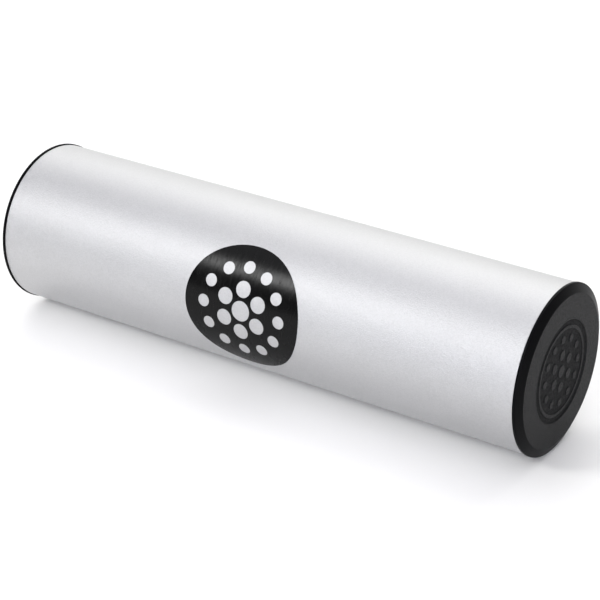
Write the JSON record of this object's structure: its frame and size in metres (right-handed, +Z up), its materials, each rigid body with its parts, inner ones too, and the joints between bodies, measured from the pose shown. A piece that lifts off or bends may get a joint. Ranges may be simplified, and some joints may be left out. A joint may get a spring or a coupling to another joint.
{
  "type": "percussion shaker",
  "caption": "Tube percussion shaker lying on its side: a satin metal tube with a bevelled cap pressed into each end, a round label, and loose steel beads that roll, swirl and fly inside.",
  "frame": {"origin": "middle of the bottom, on the surface that the shaker lies on", "axes": "+X along the tube to the right-hand cap, +Z up, and the label faces -Y"},
  "size_m": [0.2342, 0.0642, 0.0641],
  "materials": {
    "tube": "satin silver anodised, with a very fine even sparkle",
    "end_cap": "black moulded plastic with a fine satin grain",
    "label": "glossy black vinyl with a plain dotted print",
    "bead": "polished steel shot"
  },
  "bodies": {
    "shell": {"body_tube": "tube", "right_end_cap": "end_cap", "left_end_cap": "end_cap", "front_label": "label"},
    "swirl_bead": {"bead_stray_1": "bead"},
    "throw_bead": {"bead_stray_2": "bead"},
    "row_back_outer": {"bead_back_outer_01": "bead", "bead_back_outer_02": "bead", "bead_back_outer_03": "bead", "bead_back_outer_04": "bead", "bead_back_outer_05": "bead", "bead_back_outer_06": "bead", "bead_back_outer_07": "bead", "bead_back_outer_08": "bead", "bead_back_outer_09": "bead", "bead_back_outer_10": "bead", "bead_back_outer_11": "bead"},
    "row_back_inner": {"bead_back_inner_01": "bead", "bead_back_inner_02": "bead", "bead_back_inner_03": "bead", "bead_back_inner_04": "bead", "bead_back_inner_05": "bead", "bead_back_inner_06": "bead", "bead_back_inner_07": "bead", "bead_back_inner_08": "bead", "bead_back_inner_09": "bead", "bead_back_inner_10": "bead"},
    "row_bottom": {"bead_bottom_01": "bead", "bead_bottom_02": "bead", "bead_bottom_03": "bead", "bead_bottom_04": "bead", "bead_bottom_05": "bead", "bead_bottom_06": "bead", "bead_bottom_07": "bead", "bead_bottom_08": "bead", "bead_bottom_09": "bead", "bead_bottom_10": "bead", "bead_bottom_11": "bead"},
    "row_front_inner": {"bead_front_inner_01": "bead", "bead_front_inner_02": "bead", "bead_front_inner_03": "bead", "bead_front_inner_04": "bead", "bead_front_inner_05": "bead", "bead_front_inner_06": "bead", "bead_front_inner_07": "bead", "bead_front_inner_08": "bead", "bead_front_inner_09": "bead", "bead_front_inner_10": "bead"},
    "row_front_outer": {"bead_front_outer_01": "bead", "bead_front_outer_02": "bead", "bead_front_outer_03": "bead", "bead_front_outer_04": "bead", "bead_front_outer_05": "bead", "bead_front_outer_06": "bead", "bead_front_outer_07": "bead", "bead_front_outer_08": "bead", "bead_front_outer_09": "bead", "bead_front_outer_10": "bead", "bead_front_outer_11": "bead"}
  },
  "joints": [
    {"name": "fill_swirl", "type": "hinge", "parent": "shell", "child": "swirl_bead", "pos_m": [0, 0, 0.03206], "axis": [1, 0, 0], "continuous": true},
    {"name": "fill_throw", "type": "slide", "parent": "swirl_bead", "child": "throw_bead", "axis": [0, 0, 1], "range_m": [0, 0.0483]},
    {"name": "back_outer_roll", "type": "slide", "parent": "throw_bead", "child": "row_back_outer", "axis": [1, 0, 0], "range_m": [-0.0677, 0.0677]},
    {"name": "back_inner_roll", "type": "slide", "parent": "throw_bead", "child": "row_back_inner", "axis": [1, 0, 0], "range_m": [-0.0708, 0.0708]},
    {"name": "bottom_roll", "type": "slide", "parent": "throw_bead", "child": "row_bottom", "axis": [1, 0, 0], "range_m": [-0.0677, 0.0551]},
    {"name": "front_inner_roll", "type": "slide", "parent": "throw_bead", "child": "row_front_inner", "axis": [1, 0, 0], "range_m": [-0.0708, 0.0708]},
    {"name": "front_outer_roll", "type": "slide", "parent": "throw_bead", "child": "row_front_outer", "axis": [1, 0, 0], "range_m": [-0.0677, 0.0677]}
  ]
}
